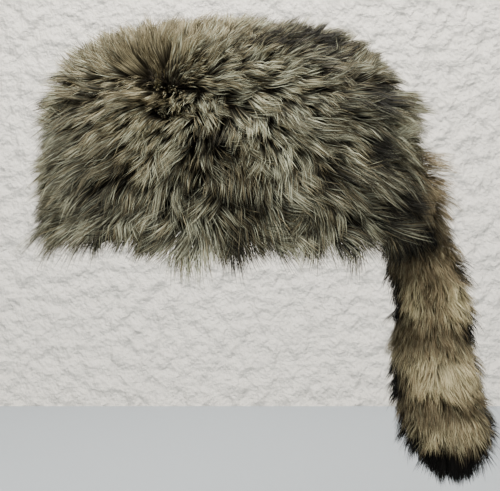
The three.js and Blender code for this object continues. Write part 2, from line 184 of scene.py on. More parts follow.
# Patches of the cap, darker or lighter, a few of them painted shade and shadow: a spot on the fur's outer
# face and its reach in millimetres, then what it adds to the tone and to how brown the fur is
PATCHES_AND_PAINTED_SHADE = table(("across", "along", "height", "reach", "tone", "brown"), [
    (34, 42, 126, 18, -0.6, 0.1),
    (74, 22, 120, 15, -0.4, 0.2),
    (74, 39, 118, 15, -0.5, 0.2),
    (38, 62, 122, 18, -0.5, 0.2),
    (58, 58, 121, 15, -0.35, 0.2),
    (32, 81, 121, 14, -0.35, 0.2),
    (68, 100, 77, 11, -1.3, 0),
    (70, 98, 46, 12, -1.3, 0.1),
    (106, -5, 50, 15, -0.5, 0.2),
    (90, -66, 30, 12, -0.5, 0.4),
    (105, -14, 18, 14, -0.45, 0.3),
    (106, 8, 6, 13, -0.45, 0.4),
    (92, 62, 28, 13, -0.4, 0.5),
    (70, -71, 103, 8, -0.4, 0.3),
    (55, 10, 116, 22, 0.3, 0.1),
    (105, 14, 60, 12, 0.3, -0.2),
    (106, -12, 8, 16, 0.3, -0.3),
    (99, -45, 45, 20, 0.2, -0.2),
    (30, -60, 125, 50, 0.12, 0.5),
    (85, 40, 104, 22, 0.1, -0.3),
    (106, 12, 30, 14, -0.25, 0.5),
    (102, 34, 40, 16, 0.2, -0.2),
    (76, -88, 18, 16, -0.25, 0.2),
    (64, -100, 76, 16, -0.2, 0.4),
    (40, -20, 130, 24, 0.15, 0.3),
    (30, 90, 108, 16, -0.3, 0.3),
    # These two are painted shade over the back of the crown
    (80, 75, 92, 32, -0.25, 0.2),
    (70, 30, 112, 26, -0.25, 0.1),
    # Painted shadow where the band's hem meets the tail
    (46, 116, 2, 25, -0.7, 0.5),
    (72, 26, 104, 14, 0.3, 0.1),
    # Faint painted shade over the front of the band
    (90, -62, 55, 40, -0.08, 0.2),
    (30, 112, 84, 16, -0.3, 0.3),
    (84, -50, 104, 26, 0.12, 0.5),
    (85, 88, 28, 24, -0.15, 0.2),
])

# The tail
TAIL_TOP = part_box("tail")[1][2]
TAIL_LENGTH = 226 * MM
TAB_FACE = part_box("tail_tab")[1][1]
TAIL_BACK = 55 * MM
TAIL_HALF = np.array([22, 23]) * MM  # half sizes of its dense fur at the thickest
TAIL_LEAST = 0.2 * MM  # half size that no section goes below
TAIL_TURNS = TURNS[::2]
TAIL_COMB = [0, 0.1, -1.0]  # the way its hairs run
TAIL_TONE = (0.5, 0.75)  # tone and brown between the marks

# Tail sections: drop as a share of TAIL_LENGTH, back as a share of TAIL_BACK, girth as a share of TAIL_HALF
TAIL_SECTIONS = table(("drop", "back", "girth"), [
    (0, 0.09, 0.2),
    (0.03, 0.163, 0.36),
    (0.09, 0.267, 0.59),
    (0.2, 0.38, 0.74),
    (0.3, 0.46, 0.78),
    (0.42, 0.61, 0.88),
    (0.52, 0.7, 0.92),
    (0.66, 0.72, 0.98),
    (0.8, 0.79, 1),
    (0.91, 0.92, 0.95),
    (0.97, 0.98, 0.66),
    (1, 1, 0.1),
])

# The tail's fur by stops of a place from its top, 0, to its tip, 1, and the value there
TAIL_FLARE = 3 * MM
TAIL_FLARES = [(0, 0), (0.6, 0), (0.8, 1), (1, 1)]  # share of TAIL_FLARE added all round
TAIL_LEAN = [(0, 0.6), (0.1, 0.75), (0.25, 1), (0.7, 1), (0.85, 0.85), (0.95, 0.66), (1, 0.36)]
TAIL_LENGTHS = [(0, 1.2), (0.06, 1.5), (0.14, 1.3), (0.3, 1), (0.84, 0.97), (0.92, 1.22), (1, 1.1)]
TAIL_THICK = [(0, 1), (0.9, 1), (0.96, 2.4), (1, 5)]
TAIL_SOFT = [(0, 0.7), (0.1, 0.6), (0.2, 0.1), (0.88, 0.1), (0.96, 0.7), (1, 0.8)]

# Marks of the tail, each over those before it: middle and half height in millimetres, turn from the photo's
# side towards the back and half its width in degrees, tone from 0, black, to 1, cream, and how brown it is
TAIL_MARKS = [
    (25, 28, 0, 900, 0.55, 0.85),
    (-19, 13, -25, 60, -0.35, 0.6),
    (-64, 15, -48, 26, 1.05, 0.1),
    (-66, 16, 45, 34, 1.05, 0.1),
    (-68, 30, -92, 36, -0.4, 0.5),
    (-92, 10, 0, 200, 0.42, 0.7),
    (-92, 13, 85, 40, -0.3, 0.6),
    (-118, 17, 0, 120, 0.95, 0.2),
    (-126, 16, -90, 34, -0.4, 0.4),
    (-143, 10, 0, 200, 0.35, 0.75),
    (-162, 12, 0, 150, 0.9, 0.35),
    (-48, 8, 80, 30, 0, 0.8),
    (-166, 16, -88, 40, -0.3, 0.3),
    (-164, 16, 86, 38, -0.3, 0.4),
    (-19, 14, 180, 100, -0.2, 0.5),
    (-55, 12, 180, 100, -0.2, 0.5),
    (-128, 14, 180, 100, -0.2, 0.5),
    (-193, 32, 0, 900, -0.6, 0.2),
]

# How far chance changes each lock, each wisp of a lock and each hair of a wisp, from lowest to highest
LOCK_LENGTHS = (0.68, 1.12)
LOCK_LEANS = (0.75, 1.22)
LOCK_TONES = (-0.16, 0.16)
LOCK_TIPPED = (0.1, 0.95)  # share of its hairs with dark tips
WISP_LENGTHS = (0.7, 1.05)
WISP_TURNS = (-0.45, 0.45)
WISP_TONES = (-0.22, 0.22)
HAIR_LENGTHS = (0.82, 1.06)
HAIR_LEANS = (0.8, 1.2)
HAIR_TURNS = (-0.3, 0.3)
HAIR_ROLLS = (-0.7, 0.7)
HAIR_TONES = (-0.3, 0.3)
EITHER_WAY = (-1.0, 1.0)
CHANCE = (0.0, 1.0)

# Shape of the locks and hairs
TONE_LUMP = 16 * MM  # size of the patches of locks that are lighter or darker together
TONE_LUMP_CHANGE = 0.24
TONE_LUMP_PLACE = (7.0, 3.0, 5.0)  # moves these patches off the swirls of the same noise
LOOSE_POWER = 2.2  # the higher, the fewer hairs leave their lock
PULL_POWER = 1.2  # the higher, the nearer the tip that hairs join their lock
WISP_ASIDE = 0.3  # share of its distance from the lock's middle that a wisp keeps
HAIR_START = 0.4  # share of its lean at which a hair leaves its root
HAIR_BEND = 1.15  # share of its lean that it bends over its length
HAIR_TAPER = 0.28  # share of its width that each side loses towards the tip
HAIR_WAVE = 1.3 * math.pi  # how far the wave turns along a hair
SHOWN = 0.8  # share of a hair's length at which it takes the tone of the place below it

# The fur's colour chart: a column for each step of tone and each kind, rows from root to tip
TONE_STEPS = 16
KINDS = 4  # grey or brown, light or dark at the tip
COLUMN_HALF = 0.35  # share of a column to either side of its middle that a hair uses
ROW_START = 0.02
ROW_SPAN = 0.96
ROW_CHANCE = 0.14  # how far chance moves a hair's colours along it

HAIR_INPUTS = [
    ("Strand", "NodeSocketObject", None),
    ("Hair Material", "NodeSocketMaterial", None),
    ("Density", "NodeSocketFloat", 1.5e6),
    ("Lock Spacing", "NodeSocketFloat", 6 * MM),
    ("Wisp Spacing", "NodeSocketFloat", 2 * MM),
    ("Lock Pull", "NodeSocketFloat", 0.9),
    ("Lock Turn", "NodeSocketFloat", 0.5),
    ("Lock Curl", "NodeSocketFloat", 0.5),
    ("Swirl Size", "NodeSocketFloat", 28 * MM),
    ("Swirl Turn", "NodeSocketFloat", 0.6),
    ("Wave Height", "NodeSocketFloat", 1.3 * MM),
    ("Tone Spread", "NodeSocketFloat", 1.0),
    ("Width", "NodeSocketFloat", 0.63 * MM),
    ("Lock Seed", "NodeSocketInt", 1),
    ("Hair Seed", "NodeSocketInt", 2),
]
SEWING_INPUTS = [
    ("Stitch", "NodeSocketObject", None),
    ("Thread", "NodeSocketMaterial", None),
    ("Step", "NodeSocketFloat", 7 * MM),
    ("Slant", "NodeSocketFloat", 0.3),
    ("Unevenness", "NodeSocketFloat", 0.08),
]

# What the hair tree keeps for each lock and each wisp
NUMBER, ARROW = "FLOAT", "FLOAT_VECTOR"
LOCK_FIELDS = {
    "lock_root": ARROW, "lock_out": ARROW, "lock_comb": ARROW, "lock_hair": NUMBER, "lock_lean": NUMBER,
    "lock_curl": NUMBER, "lock_phase": NUMBER, "lock_tone": NUMBER, "lock_tipped": NUMBER,
}
WISP_FIELDS = {**LOCK_FIELDS, "wisp_root": ARROW, "wisp_share": NUMBER, "wisp_turn": NUMBER}
SPENT_FIELDS = (
    "lock_*", "wisp_*", "a*", "root", "out", "comb", "hair", "lean", "thick", "soft", "tone", "brown",
    "share", "pull", "roll", "column",
)

# Colours of the hairs, from root to tip
CAP_GREY = [
    (0.0, (0.034, 0.032, 0.024)),
    (0.35, (0.062, 0.060, 0.044)),
    (0.54, (0.14, 0.136, 0.097)),
    (0.74, (0.52, 0.53, 0.375)),
    (0.9, (0.48, 0.48, 0.335)),
    (1.0, (0.26, 0.25, 0.165)),
]
CAP_BROWN = [
    (0.0, (0.030, 0.026, 0.017)),
    (0.35, (0.056, 0.048, 0.030)),
    (0.54, (0.12, 0.103, 0.062)),
    (0.76, (0.30, 0.262, 0.158)),
    (0.9, (0.225, 0.191, 0.112)),
    (1.0, (0.125, 0.102, 0.058)),
]
CAP_TIP = [
    (0.0, (1.0, 1.0, 1.0)),
    (0.7, (1.0, 1.0, 1.0)),
    (0.86, (0.45, 0.41, 0.34)),
    (1.0, (0.10, 0.088, 0.07)),
]
TAIL_GREY = [
    (0.0, (0.04, 0.034, 0.025)),
    (0.3, (0.19, 0.165, 0.10)),
    (0.7, (0.53, 0.465, 0.275)),
    (1.0, (0.52, 0.455, 0.26)),
]
TAIL_BROWN = [
    (0.0, (0.03, 0.022, 0.015)),
    (0.3, (0.13, 0.10, 0.058)),
    (0.7, (0.34, 0.265, 0.15)),
    (1.0, (0.26, 0.19, 0.10)),
]
TAIL_TIP = [
    (0.0, (1.0, 1.0, 1.0)),
    (0.8, (1.0, 1.0, 1.0)),
    (1.0, (0.4, 0.34, 0.28)),
]

# View of the photo, from the cap's left side
CAMERA_DISTANCE = 750 * MM
CAMERA_HEIGHT = 70 * MM
CAMERA_ALONG = 13.6 * MM
CAMERA_PITCH = 7.2  # degrees down
CAMERA_LENS = 75.6  # millimetres
CAMERA_SENSOR = 36  # millimetres wide

# Table and wall, in metres: the table runs from the wall to its near edge
TABLE_HEIGHT = -0.4
TABLE_NEAR = 4
WALL_PLACE = -0.9
WALL_TOP = 3
STAGE_SIDE = 3

# Lights: name, place, aim, size in metres, power in watts and colour
LIGHTS = [
    ("window", (1.2, -0.7, 1.3), (0, 0, 0), 1.2, 38, (1.0, 0.99, 0.97)),
    ("ceiling", (0.1, 0.4, 1.6), (0, 0, 0), 1.5, 26, (1.0, 0.97, 0.93)),
    ("room", (1.4, 1.2, 0.3), (0, 0, 0), 1.5, 10, (1, 1, 1)),
    ("wall_wash", (-0.35, 0, 1.2), (-0.9, 0, 0.1), 0.8, 22, (1.0, 0.96, 0.9)),
]
ROOM_COLOUR = (0.83, 0.83, 0.83, 1)
ROOM_STRENGTH = 0.45


def pick(sockets, name):
    """The socket with this name or number that the node's settings have switched on."""
    if isinstance(name, int):
        return sockets[name]
    return next(s for s in sockets if s.name == name and s.enabled)


class Nodes:
    """Adds nodes to a tree. A value is either a socket to link or a plain setting of the input."""

    def __init__(self, tree):
        self.tree = tree

    def add(self, kind, settings=None, values=None):
        made = self.tree.nodes.new(kind)
        for name, value in (settings or {}).items():
            setattr(made, name, value)
        for name, value in (values or {}).items():
            socket = pick(made.inputs, name)
            if isinstance(value, bpy.types.NodeSocket):
                self.tree.links.new(value, socket)
            else:
                socket.default_value = value
        return made

    def math(self, operation, *values):
        return self.add("ShaderNodeMath", {"operation": operation}, dict(enumerate(values))).outputs[0]

    def vector(self, operation, *values):
        values = dict(enumerate(values))
        if operation == "SCALE":
            values = {0: values[0], 3: values[1]}
        made = self.add("ShaderNodeVectorMath", {"operation": operation}, values)
        return made.outputs[1 if operation in ("DOT_PRODUCT", "LENGTH") else 0]

    def mix(self, kind, share, a, b):
        made = self.add("ShaderNodeMix", {"data_type": kind}, {"Factor": share, "A": a, "B": b})
        return pick(made.outputs, "Result")

    def ramp(self, value, stops):
        """A colour ramp; stops are (place, (red, green, blue))."""
        made = self.add("ShaderNodeValToRGB", values={"Fac": value})
        for i, (place, colour) in enumerate(stops):
            stop = made.color_ramp.elements[i] if i < 2 else made.color_ramp.elements.new(place)
            stop.position = place
            stop.color = (*colour, 1)
        return made.outputs["Color"]

    def object_place(self):
        return self.add("ShaderNodeTexCoord").outputs["Object"]

    def noise_texture(self, place, scale, detail):
        made = self.add("ShaderNodeTexNoise", values={"Vector": place, "Scale": scale, "Detail": detail})
        return made.outputs["Fac"]

    def bump(self, height, distance, strength):
        values = {"Height": height, "Distance": distance, "Strength": strength}
        return self.add("ShaderNodeBump", values=values).outputs["Normal"]


class GrowTree(Nodes):
    """Nodes for Geometry Nodes: fields, attributes and samples."""

    seed = 10

    def named(self, name, kind=NUMBER):
        made = self.add("GeometryNodeInputNamedAttribute", {"data_type": kind}, {"Name": name})
        return pick(made.outputs, "Attribute")

    def store(self, geometry, name, value, kind=NUMBER, domain="POINT"):
        made = self.add(
            "GeometryNodeStoreNamedAttribute",
            {"data_type": kind, "domain": domain},
            {"Geometry": geometry, "Name": name, "Value": value},
        )
        return made.outputs["Geometry"]

    def random(self, low, high):
        """A number of its own for each point, from the next fixed seed."""
        self.seed += 1
        made = self.add(
            "FunctionNodeRandomValue", {"data_type": "FLOAT"}, {"Min": low, "Max": high, "Seed": self.seed}
        )
        return pick(made.outputs, "Value")

    def place(self):
        return self.add("GeometryNodeInputPosition").outputs["Position"]

    def scatter(self, mesh, spacing, seed):
        """Points on a mesh that keep their distance."""
        made = self.add(
            "GeometryNodeDistributePointsOnFaces",
            {"distribute_method": "POISSON"},
            {"Mesh": mesh, "Distance Min": spacing, "Density Max": 2e6, "Seed": seed},
        )
        return made.outputs["Points"]

    def shown(self, mesh, name, spot):
        """An attribute of the pelt at the place nearest to a spot."""
        made = self.add(
            "GeometryNodeSampleNearestSurface",
            {"data_type": "FLOAT"},
            {"Mesh": mesh, "Value": self.named(name), "Sample Position": spot},
        )
        return pick(made.outputs, "Value")

    def inherit(self, points, source, fields):
        """Copies attributes from the nearest of the source's points."""
        place = self.place()
        nearest = self.add(
            "GeometryNodeSampleNearest", {"domain": "POINT"}, {"Geometry": source, "Sample Position": place}
        ).outputs["Index"]
        for name, kind in fields.items():
            sampled = self.add(
                "GeometryNodeSampleIndex",
                {"data_type": kind, "domain": "POINT"},
                {"Geometry": source, "Value": self.named(name, kind), "Index": nearest},
            )
            points = self.store(points, name, pick(sampled.outputs, "Value"), kind)
        return points

    def noise(self, place, size):
        """Noise from about -1 to 1, in lumps of this size."""
        scale = self.math("DIVIDE", 1.0, size)
        return self.math("MULTIPLY", self.math("SUBTRACT", self.noise_texture(place, scale, 2.0), 0.5), 3.0)

    def turned(self, vector, axis, angle):
        made = self.add(
            "ShaderNodeVectorRotate",
            {"rotation_type": "AXIS_ANGLE"},
            {"Vector": vector, "Axis": axis, "Angle": angle},
        )
        return made.outputs["Vector"]

    def placed_copies(self, points, source, **turning):
        """A copy of the source object's mesh at each point, as real mesh."""
        copied = self.add("GeometryNodeObjectInfo", values={"Object": source}).outputs["Geometry"]
        made = self.add(
            "GeometryNodeInstanceOnPoints", values={"Points": points, "Instance": copied, **turning}
        ).outputs["Instances"]
        return self.add("GeometryNodeRealizeInstances", values={"Geometry": made}).outputs["Geometry"]

    def bent_path(self, root, out, comb, length, lean, along):
        """The point at a share of a hair's length. A hair leaves its root at a small angle and bends over."""
        start = self.math("MULTIPLY", lean, HAIR_START)
        bend = self.math("MULTIPLY", lean, HAIR_BEND)
        angle = self.math("MULTIPLY_ADD", bend, along, start)
        rise = self.math("SUBTRACT", self.math("SINE", angle), self.math("SINE", start))
        lay = self.math("SUBTRACT", self.math("COSINE", start), self.math("COSINE", angle))
        stretch = self.math("DIVIDE", length, bend)
        up = self.vector("SCALE", out, self.math("MULTIPLY", rise, stretch))
        over = self.vector("SCALE", comb, self.math("MULTIPLY", lay, stretch))
        return self.vector("ADD", root, self.vector("ADD", up, over))


def new_tree(name, inputs):
    """An empty Geometry Nodes tree with named inputs, given as (name, kind of socket, value)."""
    group = bpy.data.node_groups.new(name, "GeometryNodeTree")
    group.interface.new_socket("Geometry", in_out="INPUT", socket_type="NodeSocketGeometry")
    for label, kind, value in inputs:
        made = group.interface.new_socket(label, in_out="INPUT", socket_type=kind)
        if value is not None:
            made.default_value = value
    group.interface.new_socket("Geometry", in_out="OUTPUT", socket_type="NodeSocketGeometry")
    return group


def end_tree(t, geometry, finish):
    """Gives the mesh its material and passes it to the tree's output."""
    made = t.add("GeometryNodeSetMaterial", values={"Geometry": geometry, "Material": finish})
    t.add("NodeGroupOutput", values={"Geometry": made.outputs["Geometry"]})


def grow_locks(t, given):
    """One point for each lock, with its own turn, length, lean, curl and change of tone."""
    locks = t.scatter(given["Geometry"], given["Lock Spacing"], given["Lock Seed"])
    place = t.place()
    swirl = t.math("MULTIPLY", t.noise(place, given["Swirl Size"]), given["Swirl Turn"])
    turn = t.math("MULTIPLY_ADD", t.random(*EITHER_WAY), given["Lock Turn"], swirl)
    lumps = t.math("MULTIPLY", t.noise(t.vector("ADD", place, TONE_LUMP_PLACE), TONE_LUMP), TONE_LUMP_CHANGE)
    change = t.math("MULTIPLY", t.math("ADD", lumps, t.random(*LOCK_TONES)), given["Tone Spread"])
    values = {
        "lock_root": place,
        "lock_out": t.named("out", ARROW),
        "lock_comb": t.turned(t.named("comb", ARROW), t.named("out", ARROW), turn),
        "lock_hair": t.math("MULTIPLY", t.named("hair"), t.random(*LOCK_LENGTHS)),
        "lock_lean": t.math("MULTIPLY", t.named("lean"), t.random(*LOCK_LEANS)),
        "lock_curl": t.math("MULTIPLY", t.random(*EITHER_WAY), given["Lock Curl"]),
        "lock_phase": t.random(0.0, 2 * math.pi),
        "lock_tone": change,
        "lock_tipped": t.random(*LOCK_TIPPED),
    }
    for name, kind in LOCK_FIELDS.items():
        locks = t.store(locks, name, values[name], kind)
    return locks


def grow_wisps(t, given, locks):
    """Points for the wisps that a lock is made of."""
    wisps = t.scatter(given["Geometry"], given["Wisp Spacing"], given["Lock Seed"])
    wisps = t.inherit(wisps, locks, LOCK_FIELDS)
    place = t.place()
    change = t.math("MULTIPLY", t.random(*WISP_TONES), given["Tone Spread"])
    wisps = t.store(wisps, "wisp_root", place, ARROW)
    wisps = t.store(wisps, "wisp_share", t.random(*WISP_LENGTHS))
    wisps = t.store(wisps, "wisp_turn", t.random(*WISP_TURNS))
    return t.store(wisps, "lock_tone", t.math("ADD", t.named("lock_tone"), change))


def scatter_hairs(t, given):
    """Points for the hairs, closer together where the pelt is thick."""
    made = t.add(
        "GeometryNodeDistributePointsOnFaces",
        {"distribute_method": "RANDOM"},
        {
            "Mesh": given["Geometry"],
            "Density": t.math("MULTIPLY", given["Density"], t.named("thick")),
            "Seed": given["Hair Seed"],
        },
    )
    return made.outputs["Points"]


def grow_hairs(t, given, wisps):
    """Points for the hairs, each in its nearest wisp, with the column of its colour."""
    hairs = t.inherit(scatter_hairs(t, given), wisps, WISP_FIELDS)
    place = t.place()
    hairs = t.store(hairs, "root", place, ARROW)
    turn = t.math("ADD", t.named("wisp_turn"), t.random(*HAIR_TURNS))
    comb = t.turned(t.named("lock_comb", ARROW), t.named("out", ARROW), turn)
    hairs = t.store(hairs, "comb", comb, ARROW)
    hairs = t.store(hairs, "share", t.math("MULTIPLY", t.named("wisp_share"), t.random(*HAIR_LENGTHS)))
    hairs = t.store(hairs, "lean", t.math("MULTIPLY", t.named("lock_lean"), t.random(*HAIR_LEANS)))
    loose = t.math("POWER", t.random(*CHANCE), LOOSE_POWER)
    firm = t.math("MULTIPLY", t.math("SUBTRACT", 1.0, loose), t.math("SUBTRACT", 1.0, t.named("soft")))
    hairs = t.store(hairs, "pull", t.math("MULTIPLY", given["Lock Pull"], firm))
    hairs = t.store(hairs, "roll", t.random(*HAIR_ROLLS))
    return t.store(hairs, "column", hair_column(t, given, place))


def hair_column(t, given, place):
    """The column of the colour chart for each hair, by the pelt below the part of it that shows."""
    length = t.math("MULTIPLY", t.named("lock_hair"), t.named("share"))
    spot = t.bent_path(place, t.named("out", ARROW), t.named("comb", ARROW), length, t.named("lean"), SHOWN)
    brown = t.math("LESS_THAN", t.random(*CHANCE), t.shown(given["Geometry"], "brown", spot))
    tipped = t.math("LESS_THAN", t.random(*CHANCE), t.named("lock_tipped"))
    change = t.math("MULTIPLY_ADD", t.random(*HAIR_TONES), given["Tone Spread"], t.named("lock_tone"))
    tone = t.math("ADD", t.shown(given["Geometry"], "tone", spot), change)
    tone = t.math("MAXIMUM", t.math("MINIMUM", tone, 1.0), 0.0)
    step = t.math("ROUND", t.math("MULTIPLY", tone, TONE_STEPS - 1.0))
    return t.math("MULTIPLY_ADD", step, float(KINDS), t.math("MULTIPLY_ADD", brown, 2.0, tipped))


def middle_line(t, along, comb, lock_comb):
    """Path of each hair, drawn from its own towards that of its lock."""
    share = t.named("share")
    length = t.named("lock_hair")
    hair_path = t.bent_path(
        t.named("root", ARROW), t.named("out", ARROW), comb,
        t.math("MULTIPLY", length, share), t.named("lean"), along,
    )
    lock_path = t.bent_path(
        t.named("lock_root", ARROW), t.named("lock_out", ARROW), lock_comb,
        length, t.named("lock_lean"), t.math("MULTIPLY", along, share),
    )
    off_middle = t.vector("SUBTRACT", t.named("wisp_root", ARROW), t.named("lock_root", ARROW))
    aside = t.vector("SCALE", off_middle, WISP_ASIDE)
    pull = t.math("MULTIPLY", t.math("POWER", along, PULL_POWER), t.named("pull"))
    return t.mix("VECTOR", pull, hair_path, t.vector("ADD", lock_path, aside))


def bend_strips(t, given, hairs):
    """Strips of mesh along the hairs, bent, waved and rolled."""
    strips = t.placed_copies(hairs, given["Strand"])
    along = t.named("along")
    out = t.named("out", ARROW)
    curl = t.math("MULTIPLY", t.named("lock_curl"), along)
    comb = t.turned(t.named("comb", ARROW), out, curl)
    lock_comb = t.turned(t.named("lock_comb", ARROW), t.named("lock_out", ARROW), curl)
    middle = middle_line(t, along, comb, lock_comb)

    side = t.vector("CROSS_PRODUCT", out, comb)
    phase = t.math("MULTIPLY_ADD", along, HAIR_WAVE, t.named("lock_phase"))
    wave = t.math("MULTIPLY", t.math("MULTIPLY", t.math("SINE", phase), along), given["Wave Height"])
    angle = t.math("MULTIPLY", t.named("lean"), t.math("MULTIPLY_ADD", along, HAIR_BEND, HAIR_START))
    raised = t.vector("SCALE", out, t.math("SINE", angle))
    face = t.vector("SUBTRACT", raised, t.vector("SCALE", comb, t.math("COSINE", angle)))
    roll = t.named("roll")
    upright = t.vector("SCALE", side, t.math("COSINE", roll))
    flat = t.vector("ADD", upright, t.vector("SCALE", face, t.math("SINE", roll)))
    half = t.math("MULTIPLY", given["Width"], t.math("MULTIPLY_ADD", along, -HAIR_TAPER, 0.5))
    place = t.vector("ADD", middle, t.vector("SCALE", flat, t.math("MULTIPLY", t.named("across"), half)))
    place = t.vector("ADD", place, t.vector("SCALE", side, wave))
    bent = t.add("GeometryNodeSetPosition", values={"Geometry": strips, "Position": place})
    return bent.outputs["Geometry"]


def chart_strips(t, strips):
    """Map of the hairs onto the colour chart. What the tree kept for its own use is taken off."""
    inside = t.math("MULTIPLY_ADD", t.named("across"), COLUMN_HALF, 0.5)
    column = t.math("DIVIDE", t.math("ADD", t.named("column"), inside), float(KINDS * TONE_STEPS))
    row = t.math("MULTIPLY_ADD", t.named("along"), ROW_SPAN, ROW_START)
    chart = t.add("ShaderNodeCombineXYZ", values={"X": column, "Y": row}).outputs["Vector"]
    strips = t.store(strips, "OFBake", chart, "FLOAT2", "CORNER")
    for name in SPENT_FIELDS:
        pattern = "WILDCARD" if "*" in name else "EXACT"
        strips = t.add(
            "GeometryNodeRemoveAttribute", {"pattern_mode": pattern}, {"Geometry": strips, "Name": name}
        ).outputs["Geometry"]
    return strips


def hair_tree():
    """Grows hair on a pelt, whose points hold out, comb, hair, lean, thick, soft, tone and brown."""
    group = new_tree("grow_hair", HAIR_INPUTS)
    t = GrowTree(group)
    given = t.add("NodeGroupInput").outputs
    wisps = grow_wisps(t, given, grow_locks(t, given))
    strips = chart_strips(t, bend_strips(t, given, grow_hairs(t, given, wisps)))
    end_tree(t, strips, given["Hair Material"])
    return group


def sewing_tree():
    """Sews a slanted stitch at each step of a path."""
    group = new_tree("sew_row", SEWING_INPUTS)
    t = GrowTree(group)
    given = t.add("NodeGroupInput").outputs
    path = t.add("GeometryNodeMeshToCurve", values={"Mesh": given["Geometry"]}).outputs["Curve"]
    path = t.add(
        "GeometryNodeResampleCurve", {"mode": "LENGTH"}, {"Curve": path, "Length": given["Step"]}
    ).outputs["Curve"]
    ahead = t.add("GeometryNodeInputTangent").outputs["Tangent"]
    laid = t.add(
        "FunctionNodeAlignRotationToVector", {"axis": "X", "pivot_axis": "Z"}, {"Vector": ahead}
    ).outputs["Rotation"]
    slant = t.math("MULTIPLY_ADD", t.random(*EITHER_WAY), given["Unevenness"], given["Slant"])
    tilt = t.add("ShaderNodeCombineXYZ", values={"Y": slant}).outputs["Vector"]
    laid = t.add(
        "FunctionNodeRotateRotation", {"rotation_space": "LOCAL"}, {"Rotation": laid, "Rotate By": tilt}
    ).outputs["Rotation"]
    end_tree(t, t.placed_copies(path, given["Stitch"], Rotation=laid), given["Thread"])
    return group


def mesh_object(name, places, faces):
    """An object with a smooth mesh, linked to the scene."""
    mesh = bpy.data.meshes.new(name)
    mesh.from_pydata([tuple(p) for p in places], [], faces)
    mesh.validate()
    mesh.shade_smooth()
    made = bpy.data.objects.new(name, mesh)
    bpy.context.collection.objects.link(made)
    return made


def set_attribute(mesh, name, values):
    """Stores one number or one vector for each point of a mesh."""
    values = np.asarray(values, np.float32)
    if values.ndim == 1:
        mesh.attributes.new(name, NUMBER, "POINT").data.foreach_set("value", values)
    else:
        mesh.attributes.new(name, ARROW, "POINT").data.foreach_set("vector", values.ravel())


def strand_mesh():
    """A strip that narrows to a point: places across from -1 to 1, and along from 0 to 1."""
    along = [0, 0, 0.38, 0.38, 0.7, 0.7, 1]
    across = [-1, 1, -1, 1, -1, 1, 0]
    places = [(x, 0, z) for x, z in zip(across, along)]
    made = mesh_object("strand", places, [(0, 1, 3, 2), (2, 3, 5, 4), (4, 5, 6)])
    set_attribute(made.data, "along", along)
    set_attribute(made.data, "across", across)
    return made


def ring_faces(rows, columns, closed=False):
    """Quads between rings of points. Closed, the last ring joins the first."""
    faces = []
    for i in range(rows if closed else rows - 1):
        for j in range(columns):
            k = (j + 1) % columns
            upper = (i + 1) % rows
            faces.append((i * columns + j, i * columns + k, upper * columns + k, upper * columns + j))
    return faces


def capped_faces(rows, columns):
    """Quads between rings of points, and a face over each end."""
    last = columns * (rows - 1)
    ends = [tuple(range(columns))[::-1], tuple(range(last, last + columns))]
    return ring_faces(rows, columns) + ends


def stitch_mesh():
    """One stitch along X: a thread that dips into the cloth at both ends."""
    places = []
    for along, girth in STITCH_RINGS:
        half = girth * THREAD_WIDTH / 2
        for k in range(THREAD_SIDES):
            turn = 2 * math.pi * k / THREAD_SIDES
            places.append((along * THREAD_LENGTH, half * math.cos(turn), half * math.sin(turn)))
    return mesh_object("stitch", places, capped_faces(len(STITCH_RINGS), THREAD_SIDES))


def band_point(turn, share, off):
    """A point off the band's cloth; turn in radians from the left side, share from hem to seam."""
    half = SEAM_HALF + BAND_TAPER * (1 - share) + BAND_BELLY * 4 * share * (1 - share) + off
    height = SEAM_HEIGHT * share - SIDE_DROP * (1 - share) * math.cos(turn) ** 2
    return np.array([half[0] * math.cos(turn), half[1] * math.sin(turn), height])


def crown_point(turn, radius, off):
    """A point off the crown's cloth; radius from 0 in the middle to 1 at the seam."""
    power, root = DOME_POWERS
    rise = CROWN_TOP - SEAM_HEIGHT
    inside = min(max(1 - radius**power, DOME_EDGE), 1)
    slope = rise * root * inside ** (root - 1) * power * radius ** (power - 1) / SEAM_HALF.mean()
    flat = slope / math.hypot(slope, 1)
    up = 1 / math.hypot(slope, 1)
    half = SEAM_HALF * radius + off * flat
    height = SEAM_HEIGHT + rise * inside**root + off * up
    return np.array([half[0] * math.cos(turn), half[1] * math.sin(turn), height])


def tail_section(share):
    """Middle and half sizes of the tail's dense fur at a share of its length."""
    back, girth = (np.interp(share, TAIL_SECTIONS["drop"], TAIL_SECTIONS[key]) for key in ("back", "girth"))
    middle = np.array([0, TAB_FACE + TAIL_BACK * back, TAIL_TOP - TAIL_LENGTH * share])
    return middle, TAIL_HALF * girth


def tail_point(turn, share, off):
    """A point off the tail's dense fur."""
    middle, half = tail_section(share)
    half = np.maximum(half + off, TAIL_LEAST)
    return middle + np.array([half[0] * math.cos(turn), half[1] * math.sin(turn), 0])


def unit(vectors):
    """Vectors made 1 long."""
    return vectors / np.maximum(np.linalg.norm(vectors, axis=1), TINY)[:, None]


def surface(point, turns, levels, off):
    """A grid of points from one of the functions above, with the way out of the surface at each."""
    spots = [(turn, level) for level in levels for turn in turns]
    step = 2e-4

    def moved(aside, onward):
        return np.array([point(turn + aside, level + onward, off) for turn, level in spots])

    around = moved(step, 0) - moved(-step, 0)
    ahead = moved(0, step) - moved(0, -step)
    return moved(0, 0), unit(np.cross(around, ahead))


def flattened(comb, out):
    """Directions laid flat on the surface, of length 1."""
    return unit(comb - out * (comb * out).sum(1)[:, None])


def graded(places, stops):
    """The value at each place, between stops of (place, value)."""
    return np.interp(places, *zip(*stops))


def near_spot(places, spot, reach):
    """How near each place is to a spot: 1 on it, and fading out over its reach."""
    return np.exp(-((places - spot) ** 2).sum(1) / reach**2)


